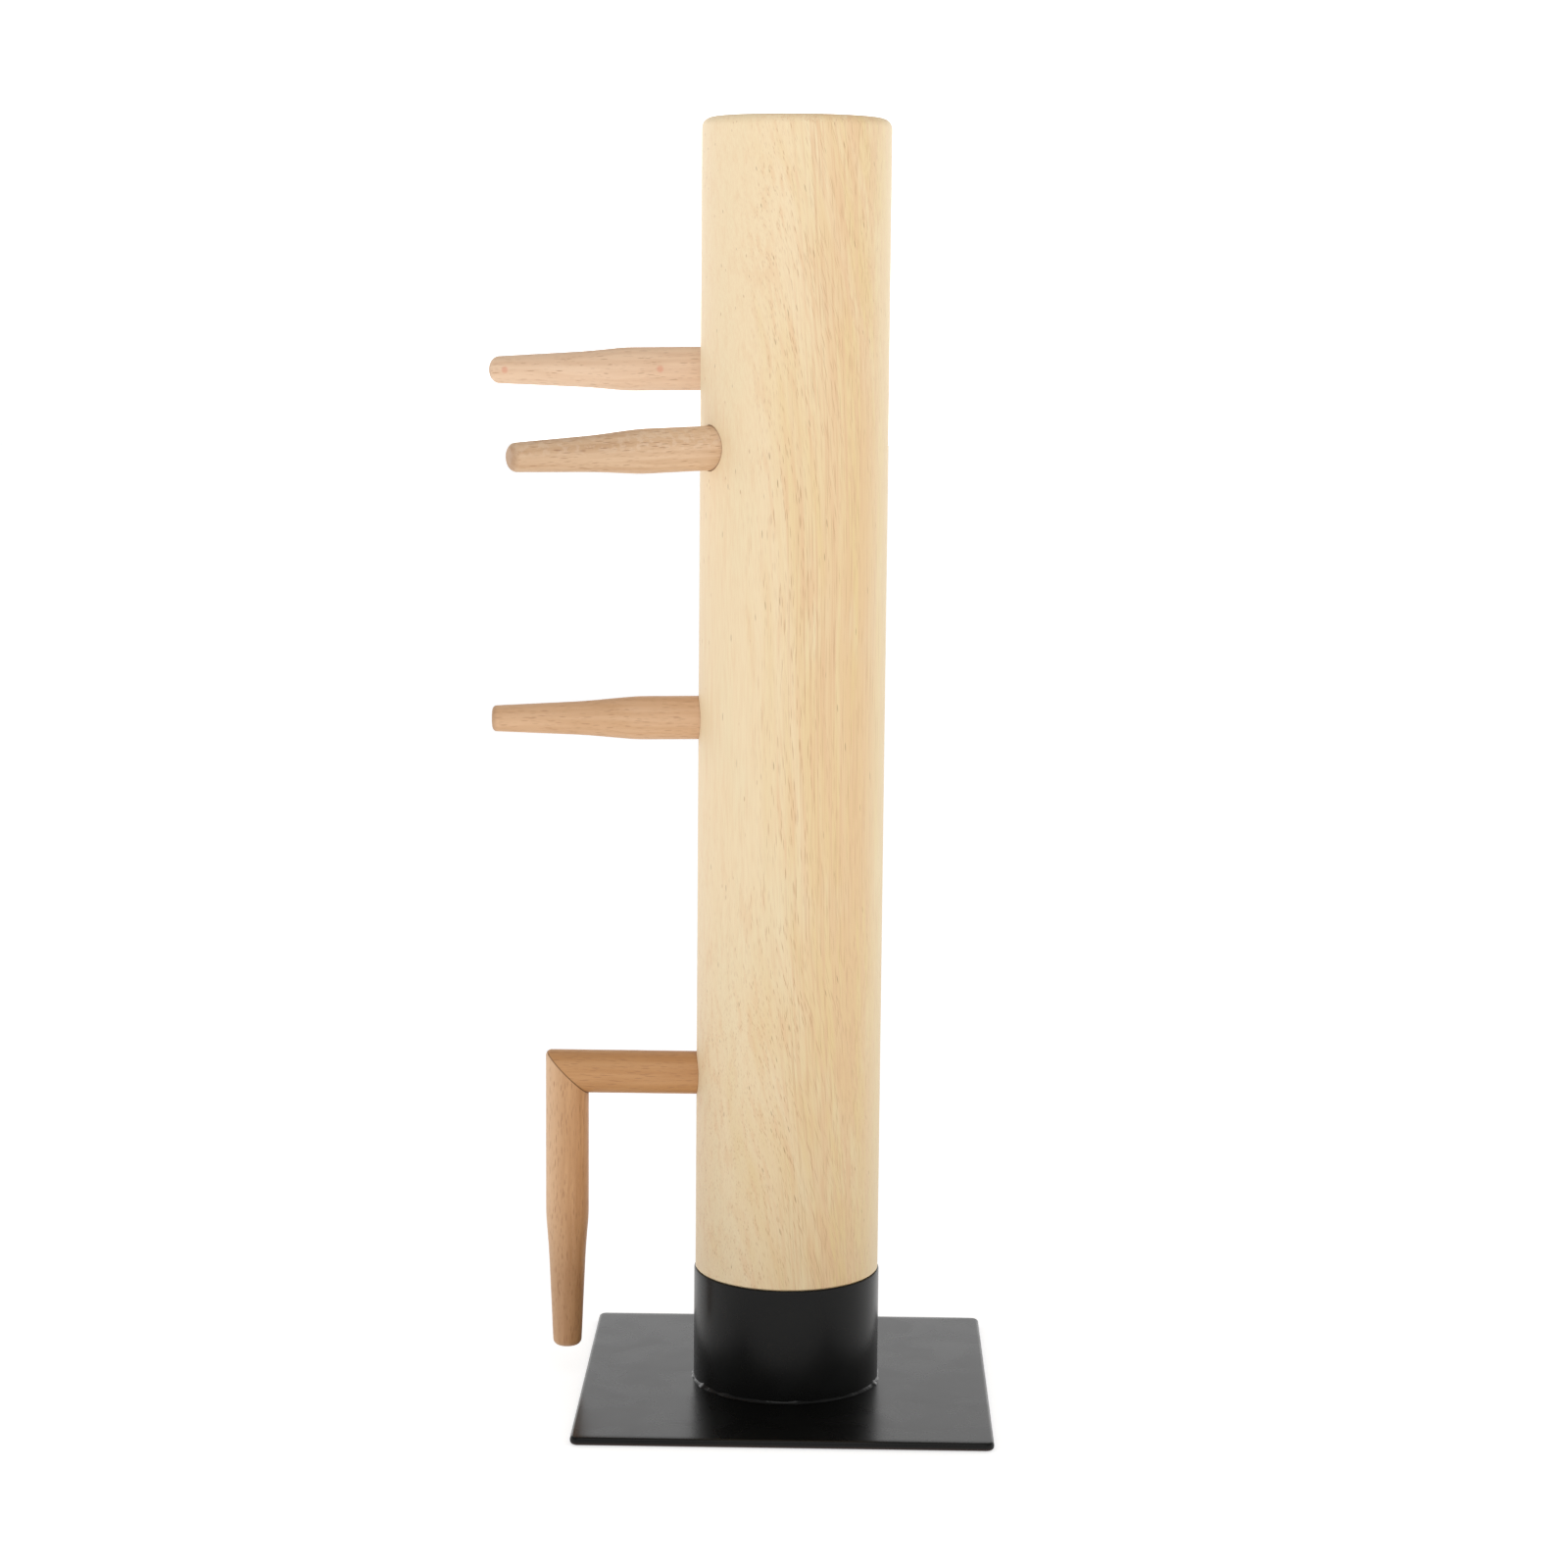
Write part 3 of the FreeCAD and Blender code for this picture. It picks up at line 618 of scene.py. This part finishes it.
# The weld's size as shares of its size in the CAD: even and uneven part, tacks, ripples and limit.
WELD_EVEN = 0.6
WELD_UNEVEN = 0.30
TACK_HEIGHT = 0.4
RIPPLE_HEIGHT = 0.03
WELD_MOST = 1.6
BEAD_WAIST = 0.62           # the section's size at its middle, against 1 where it meets the steel

# Studio.
FLOOR_RADIUS = 6.0
FLOOR_DROP = 0.1 * MM       # below the plate, so that the two don't coincide
SKY_LOW, SKY_TOP = 1.56, 0.49
KEY_PLACE, KEY_TARGET = (-0.02, -0.50, 0.60), (0, 0, 0.27)
KEY_SIZE = 0.4
KEY_POWER = 0.75

# Each arm: its body, its CAD node and the mount that lies on its axis.
ARMS = [
    ("left_arm", "left_upper_arm", "left_peg"),
    ("right_arm", "right_upper_arm", "right_peg"),
    ("centre_arm", "middle_arm", "middle_peg"),
]


def arm_placement(body, mount):
    """The arm's own frame: it starts on the column's axis and runs out along the arm's slide."""
    axis = Vector(joints[body]["axis"]).normalized()
    place = Vector(mounts[mount]["pos_m"])
    reach = math.hypot(place.x, place.y) / math.hypot(axis.x, axis.y)
    return axis_frame(place - axis * reach, axis)


ARM_PLACEMENTS = {node: arm_placement(body, mount) for body, node, mount in ARMS}
LEG_AXIS_HEIGHT = joints["leg"]["pos_m"][2]
MITRE_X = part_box("leg_shin")[0].x + LIMB_RADIUS
THIGH_PLACEMENT = axis_frame(Vector((0, 0, LEG_AXIS_HEIGHT)), Vector((-1, 0, 0)))
SHIN_PLACEMENT = axis_frame(Vector((MITRE_X, 0, LEG_AXIS_HEIGHT)), Vector((0, 0, -1)))


# ---------------------------------------------------------------- pieces

def screw_placement(node):
    """A screw's own frame: its axis, from the plate's underside up."""
    low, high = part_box(node)
    return Matrix.Translation(((low.x + high.x) / 2, 0, 0))


def make_column(material):
    """Lathe-turned post with a rounded top, a chamfered shoulder, and a bore for every limb."""
    radius = COLUMN_HIGH.x
    top = COLUMN_HIGH.z
    shoulder = COLLAR_HIGH.z
    spigot = COLLAR_BORE - FIT_GAP
    outline = [(COLUMN_LOW.z, spigot), (shoulder, spigot), (shoulder, radius - SHOULDER_CHAMFER)]
    side = dense([(shoulder + SHOULDER_CHAMFER, radius), (top - COLUMN_ROUND, radius)], COLUMN_STEP)
    crown = arc(top - COLUMN_ROUND, radius - COLUMN_ROUND, COLUMN_ROUND, 0, 90, CROWN_STEPS)[1:]
    cap = dense([crown[-1], (top, TOP_CENTRE)], TOP_STEP)[1:]
    rings = [(COLUMN_LOW.z, 0)] + outline + side + crown + cap + [(top, 0)]
    mesh = lathe(rings, SEGMENTS_COLUMN)
    cutters = []
    for placement in [*ARM_PLACEMENTS.values(), THIGH_PLACEMENT]:
        cutters.append(cylinder(LIMB_RADIUS + FIT_GAP, BORE_START, BORE_END, placement))
        mouth = cylinder(LIMB_RADIUS + MOUTH_GAP, MOUTH_START, BORE_END, placement)
        height = placement.translation.z
        core = cylinder(radius - MOUTH_DEPTH, height - MOUTH_REACH, height + MOUTH_REACH,
                        segments=SEGMENTS_COLUMN)
        cutters.append(subtract(mouth, [core]))
    for screw in SCREWS:
        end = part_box(screw)[1].z + 0.1 * MM
        cutters.append(cylinder(SHANK_HOLE, 0, end, screw_placement(screw), SEGMENTS_SCREW))
    mesh = subtract(mesh, cutters)
    finish_piece(mesh, "turned_column", material, "stand", "column")


def make_arm(body, node, material):
    """One turned arm, its tenon included."""
    placement = ARM_PLACEMENTS[node]
    outline = turned_outline(node, placement)
    tip = outline[-1][0]
    rings = [(outline[0][0], 0)] + dense(outline, LIMB_STEP) + [(tip, 0)]
    mesh = lathe(rings, SEGMENTS_LIMB)
    mark_turning(mesh, node)
    finish_piece(mesh, "turned_" + node, material, body, node, placement, tip)


def turned_outline(node, placement, first=0.0):
    """A turned node's outline past first, one radius at each place along its axis, its tip rounded
    with many short steps."""
    widest = {}
    for along, radius in node_profile(node, placement):
        if along >= first and radius > 0.5 * MM:
            widest[along] = max(radius, widest.get(along, 0))
    outline = sorted(widest.items())
    tip, crown = outline[-1]
    round_by = TIP_ROUND[node]
    outline = [point for point in outline if point[0] < tip - round_by]
    return outline + arc(tip - round_by, crown, round_by, TAPER, 90, TIP_STEPS)


def mark_turning(mesh, seed):
    """Faint rings and a slight unevenness, as a small lathe and sandpaper leave on a limb."""
    shift = random.Random(seed).uniform(0, 100)
    for vertex in mesh.verts:
        radius = math.hypot(vertex.co.x, vertex.co.y)
        if radius < 0.5 * LIMB_RADIUS:
            continue
        ring = noise.noise(Vector((shift, 0, vertex.co.z / RING_LENGTH)))
        lump = noise.noise(vertex.co / LUMP_LENGTH + Vector((shift, 0, 0)))
        change = (RING_DEPTH * ring + LUMP_DEPTH * lump - LUMP_DEPTH) * MM
        vertex.co.x *= 1 + change / radius
        vertex.co.y *= 1 + change / radius


def leaning_limb(rings):
    """A bmesh like a lathe's, of (along, radius, lean) rings, which lean by lean times their y."""
    mesh = lathe([(along, radius) for along, radius, _ in rings], SEGMENTS_LIMB)
    vertices = iter(mesh.verts[:])
    for _, radius, lean in rings:
        for _ in range(SEGMENTS_LIMB if radius else 1):
            vertex = next(vertices)
            vertex.co.z += lean * vertex.co.y
    return mesh


# Distances from the mitre at which a limb has a ring, and how far each ring sits below the surface,
# in millimetres.
MITRE_RINGS = [(0.0, 0.10), (0.06, 0.05)] + [
    (distance, 0.0) for distance in (0.14, 0.3, 0.5, 0.7, 0.9, 1.15, 1.5, 2.2, 3.2)]


def mitre_rings(at, side):
    """Rings from a mitre cut at 45 degrees through at, on the side 1 or -1 of it."""
    rings = [(at, 0, 1.0)]
    for distance, below in MITRE_RINGS:
        rings.append((at + side * distance * MM, LIMB_RADIUS - below * MM, 1.0))
    return rings


def round_corner(mesh, placement):
    """Sand the leg's outer corner round, whichever of its two pieces the mesh is."""
    centre = Vector((MITRE_X, 0, LEG_AXIS_HEIGHT))
    out = Vector((-1, 0, 1)).normalized()
    normal = Vector((1, 0, 1)).normalized()
    corner = LIMB_RADIUS * math.sqrt(2)
    back = placement.inverted().to_3x3()
    for vertex in mesh.verts:
        place = placement @ vertex.co - centre
        beside = abs(place.dot(normal))
        share = place.dot(out) / max(corner - beside, 1e-9)
        if beside >= CORNER_ROUND / math.sqrt(2) or share <= 0:
            continue
        rounded = corner - CORNER_ROUND * math.sqrt(2) + math.sqrt(CORNER_ROUND ** 2 - beside ** 2)
        vertex.co += back @ (out * (rounded - (corner - beside)) * min(share, 1.0))


def make_leg(thigh_material, shin_material):
    """The L-shaped leg: a plain dowel from the column, mitred to a turned shin."""
    start = -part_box("leg_thigh")[1].x
    end = -MITRE_X
    level = end - LEAN_LENGTH
    rings = [(start, 0, 0), (start, LIMB_RADIUS - LEG_CHAMFER, 0)]
    straight = dense([(start + LEG_CHAMFER, LIMB_RADIUS), (level, LIMB_RADIUS)], LIMB_STEP)
    rings += [(along, radius, 0) for along, radius in straight]
    rings += [(level + k * LIMB_STEP, LIMB_RADIUS, k / 10) for k in range(1, 10)]
    rings += list(reversed(mitre_rings(end, -1)))
    thigh = leaning_limb(rings)
    mark_turning(thigh, "thigh")
    round_corner(thigh, THIGH_PLACEMENT)
    finish_piece(thigh, "mitred_thigh", thigh_material, "leg", "leg_thigh",
                 THIGH_PLACEMENT, seam=end)

    outline = turned_outline("leg_shin", SHIN_PLACEMENT, LIMB_RADIUS + TURNING_START)
    tip = outline[-1][0]
    rings = mitre_rings(0.0, 1)
    rings += [(LEAN_START + k * LIMB_STEP, LIMB_RADIUS, 1 - k / 10) for k in range(1, 11)]
    plumb = dense([(PLUMB_START, LIMB_RADIUS)] + outline, LIMB_STEP)
    rings += [(along, radius, 0) for along, radius in plumb]
    rings.append((tip, 0, 0))
    shin = leaning_limb(rings)
    mark_turning(shin, "shin")
    round_corner(shin, SHIN_PLACEMENT)
    finish_piece(shin, "turned_shin", shin_material, "leg", "leg_shin",
                 SHIN_PLACEMENT, tip, seam=0.0)


def square_ring(mesh, half, corner, height, per_side=44, per_corner=8):
    """A loop of vertices round a square with rounded corners, always with the same count."""
    ring = []
    for quarter in range(4):
        turn = Matrix.Rotation(math.pi / 2 * quarter, 3, "Z")
        for i in range(per_side):
            y = (half - corner) * (2 * i / per_side - 1)
            ring.append(mesh.verts.new(turn @ Vector((half, y, height))))
        for i in range(per_corner):
            angle = math.pi / 2 * i / per_corner
            x = half - corner + corner * math.cos(angle)
            y = half - corner + corner * math.sin(angle)
            ring.append(mesh.verts.new(turn @ Vector((x, y, height))))
    return ring


def bridge(mesh, lower, upper):
    """Faces between two closed loops of as many vertices."""
    count = len(lower)
    for i in range(count):
        mesh.faces.new((lower[i], lower[(i + 1) % count], upper[(i + 1) % count], upper[i]))


def make_plate(material):
    """Flat steel plate with rounded corners and edges, an uneven top and two countersinks."""
    half = PLATE_HIGH.x
    mesh = bmesh.new()
    angles = [math.radians(90 * k / ARC_STEPS) for k in range(ARC_STEPS + 1)]
    loops = []
    for angle in angles:
        inset = PLATE_EDGE * (1 - math.sin(angle))
        rise = PLATE_EDGE * (1 - math.cos(angle))
        corner = max(PLATE_CORNER - inset, LEAST_EDGE_CORNER)
        loops.append((half - inset, corner, PLATE_LOW.z + rise))
    loops += [(size, corner, PLATE_HIGH.z - (height - PLATE_LOW.z))
              for size, corner, height in loops[::-1]]
    for step in range(1, PLATE_LOOPS + 1):
        size = half - PLATE_EDGE - step * PLATE_STEP
        corner = max(PLATE_CORNER - (half - size), LEAST_TOP_CORNER)
        loops.append((size, corner, PLATE_HIGH.z))
    rings = [square_ring(mesh, *loop) for loop in loops]
    for lower, upper in zip(rings, rings[1:]):
        bridge(mesh, lower, upper)
    mesh.faces.new(rings[0])
    centre = mesh.verts.new((0, 0, PLATE_HIGH.z))
    for first, second in zip(rings[-1], rings[-1][1:] + rings[-1][:1]):
        mesh.faces.new((first, second, centre))
    for vertex in mesh.verts:
        if vertex.co.z > PLATE_HIGH.z - 0.1 * MM:
            vertex.co.z += (noise.noise(vertex.co / UNEVEN_LENGTH) - 0.6) * UNEVEN
    below, above = -1 * MM, 3 * MM
    bore = [(below, 0), (below, SEAT), (SEAT_START, SEAT), (SEAT_END, SHANK_HOLE),
            (above, SHANK_HOLE), (above, 0)]
    cutters = []
    for screw in SCREWS:
        cutter = lathe(bore, SEGMENTS_SCREW)
        bmesh.ops.transform(cutter, matrix=screw_placement(screw), verts=cutter.verts[:])
        cutters.append(cutter)
    mesh = subtract(mesh, cutters)
    finish_piece(mesh, "rounded_plate", material, "stand", "base_plate")


def make_screw(node, material):
    """Countersunk screw with an eased rim and a tapering cross recess."""
    low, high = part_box(node)
    head = (high.x - low.x) / 2
    rings = [(low.z, 0), (low.z, head - HEAD_FLAT), (low.z + HEAD_EASE, head - HEAD_RIM),
             (low.z + HEAD_HEIGHT, SHANK), (high.z - SCREW_POINT, SHANK), (high.z, 0)]
    cross = bmesh.new()
    loops = []
    for height, share in ((low.z - 0.5 * MM, 1.0), (low.z, 1.0),
                          (low.z + RECESS_DEPTH, RECESS_NARROWING)):
        ring = []
        for quarter in range(4):
            turn = Matrix.Rotation(math.pi / 2 * quarter, 3, "Z")
            for x, y in RECESS_CORNERS:
                point = turn @ Vector((x, y, 0)) * share * MM
                ring.append(cross.verts.new((point.x, point.y, height)))
        loops.append(ring)
    for lower, upper in zip(loops, loops[1:]):
        bridge(cross, lower, upper)
    cross.faces.new(loops[0])
    cross.faces.new(loops[-1])
    mesh = subtract(lathe(rings, SEGMENTS_SCREW), [cross])
    finish_piece(mesh, "recessed_" + node, material, "stand", node,
                 screw_placement(node))


def make_collar(material):
    """Steel tube with its rim eased on both sides."""
    low, high = COLLAR_LOW.z, COLLAR_HIGH.z
    rings = [(low, COLLAR_BORE), (low, COLLAR_RADIUS)]
    straight = [(low + COLLAR_START, COLLAR_RADIUS), (high - RIM_EASE, COLLAR_RADIUS)]
    rings += dense(straight, COLLAR_STEP)
    rings += arc(high - RIM_EASE, COLLAR_RADIUS - RIM_EASE, RIM_EASE, 0, 90, RIM_STEPS)[1:]
    rings += [(high, COLLAR_BORE + RIM_EASE_INSIDE), (high - RIM_EASE_INSIDE, COLLAR_BORE)]
    mesh = lathe(rings, SEGMENTS_COLUMN)
    bmesh.ops.bridge_loops(mesh, edges=[edge for edge in mesh.edges if edge.is_boundary])
    finish_piece(mesh, "tube_collar", material, "stand", "socket_collar")


def weld_size(angle):
    """The weld's size at an angle round the collar: uneven, rippled, and larger at each tack."""
    wobble = noise.noise(Vector((angle * 9, 0, 0)))
    ripple = RIPPLE_HEIGHT * math.sin(angle * WELD_RIPPLES + 5 * wobble)
    around = Vector((math.cos(angle) * 8, math.sin(angle) * 8, 0.5))
    swell = WELD_EVEN + WELD_UNEVEN * noise.noise(around)
    for tack in WELD_TACKS:
        apart = math.remainder(angle - math.radians(tack), math.tau) * COLLAR_RADIUS
        swell += TACK_HEIGHT * math.exp(-(apart / TACK_WIDTH) ** 2)
    return (WELD_HIGH.z - WELD_LOW.z) * min(swell * (1 + ripple), WELD_MOST)


def make_weld(material):
    """Rippled fillet weld round the collar's foot, with a lump where each of two tacks was made."""
    mesh = bmesh.new()
    section = [math.radians(90 * k / ARC_STEPS) for k in range(ARC_STEPS + 1)]
    inner = COLLAR_RADIUS - WELD_SINK
    foot = PLATE_HIGH.z - WELD_SINK
    loops = []
    for i in range(WELD_STEPS):
        angle = math.tau * i / WELD_STEPS
        size = weld_size(angle)
        outline = []
        for turn in section:
            bulge = size * (BEAD_WAIST + (1 - BEAD_WAIST) * (1 - math.sin(2 * turn)))
            outline.append((inner + bulge * math.cos(turn), foot + bulge * math.sin(turn)))
        outline.append((inner, foot))
        loops.append([mesh.verts.new((out * math.cos(angle), out * math.sin(angle), height))
                      for out, height in outline])
    for lower, upper in zip(loops, loops[1:] + loops[:1]):
        bridge(mesh, lower, upper)
    finish_piece(mesh, "rippled_weld", material, "stand", "weld_bead")


def build_camera():
    """The camera that took the photograph."""
    data = bpy.data.cameras.new("camera")
    data.lens = CAMERA_LENS
    data.sensor_width = CAMERA_SENSOR
    data.clip_start = 0.01
    camera = bpy.data.objects.new("camera", data)
    camera.matrix_world = (
        Matrix.Translation(CAMERA_PLACE)
        @ Matrix.Rotation(CAMERA_TURN, 4, "Z")
        @ Matrix.Rotation(math.pi / 2 - CAMERA_TILT, 4, "X")
        @ Matrix.Rotation(CAMERA_ROLL, 4, "Z")
    )
    bpy.context.scene.collection.objects.link(camera)
    bpy.context.scene.camera = camera


def build_stage():
    """A large pale floor under a white sky that is brightest low down and behind the object."""
    mesh = bmesh.new()
    bmesh.ops.create_circle(mesh, cap_ends=True, radius=FLOOR_RADIUS, segments=96)
    data = bpy.data.meshes.new("floor")
    mesh.to_mesh(data)
    mesh.free()
    data.materials.append(lit_floor())
    floor = bpy.data.objects.new("floor", data)
    floor.location.z = -FLOOR_DROP
    bpy.context.scene.collection.objects.link(floor)

    world = bpy.data.worlds.new("studio")
    world.use_nodes = True
    graph = Graph(world.node_tree)
    x, y, z = graph.separate(graph.node("ShaderNodeTexCoord").outputs["Generated"])
    sky = graph.ramp(z, 0.16, 0.45, SKY_LOW, SKY_TOP)
    side = graph.math("MULTIPLY_ADD", x, 0.02, 1.0)
    side = graph.math("MULTIPLY_ADD", y, 0.27, side)
    sky = graph.math("MULTIPLY", sky, side)
    background = graph.node("ShaderNodeBackground", Color=graph.combine(sky, sky, sky),
                            Strength=1.0)
    output = graph.node("ShaderNodeOutputWorld")
    graph.put(output.inputs["Surface"], background.outputs[0])
    bpy.context.scene.world = world


def build_light():
    """One small soft light above the camera."""
    data = bpy.data.lights.new("key", "AREA")
    data.shape = "RECTANGLE"
    data.size = data.size_y = KEY_SIZE
    data.energy = KEY_POWER
    light = bpy.data.objects.new("key", data)
    light.location = KEY_PLACE
    light.rotation_mode = "QUATERNION"
    light.rotation_quaternion = (Vector(KEY_TARGET) - Vector(KEY_PLACE)).to_track_quat("-Z", "Y")
    bpy.context.scene.collection.objects.link(light)


# What sets each arm's beech apart from the others'.
ARM_TONES = {
    "left_upper_arm": dict(light=colour(236, 204, 173), dark=colour(225, 189, 156), mark=0.75,
                           share=0.26, spots=(5.1, 46.7)),
    "right_upper_arm": dict(light=colour(226, 192, 157), dark=colour(210, 172, 135), mark=0.8,
                            share=0.36, blotch=0.35, darker_tip=colour(244, 242, 240)),
    "middle_arm": dict(light=colour(219, 179, 141), dark=colour(208, 165, 124), mark=0.65,
                       share=0.42),
}


def paint_node(node, material):
    """Give a CAD node that keeps its shape a material of this scene."""
    for slot in frame["nodes"][node].material_slots:
        slot.link = "OBJECT"
        slot.material = material


def build():
    """The whole scene, in the order in which its pieces are made."""
    bpy.context.scene.view_settings.view_transform = "Standard"
    build_camera()
    build_stage()
    build_light()
    make_column(column_wood())
    for body, node, _ in ARMS:
        make_arm(body, node, beech(node + "_beech", **ARM_TONES[node]))
    coat = black_coat()
    make_plate(coat)
    make_collar(coat)
    make_weld(coat)
    thigh = beech("thigh_beech", light=colour(201, 151, 101), dark=colour(189, 137, 87), mark=0.65,
                  share=0.5)
    # Painted light: the shin's -y side is paler, as if lit from the left.
    # Painted shade: the shin grows darker towards its lower end.
    shin = beech("shin_beech", light=colour(206, 159, 113), dark=colour(189, 139, 93), mark=0.9,
                 share=0.48, lit_side=colour(222, 184, 146), darker_tip=colour(222, 216, 210))
    make_leg(thigh, shin)
    paint_node("leg_mitre_dowel", thigh)
    steel = zinc_steel()
    for node in SCREWS:
        make_screw(node, steel)


build()
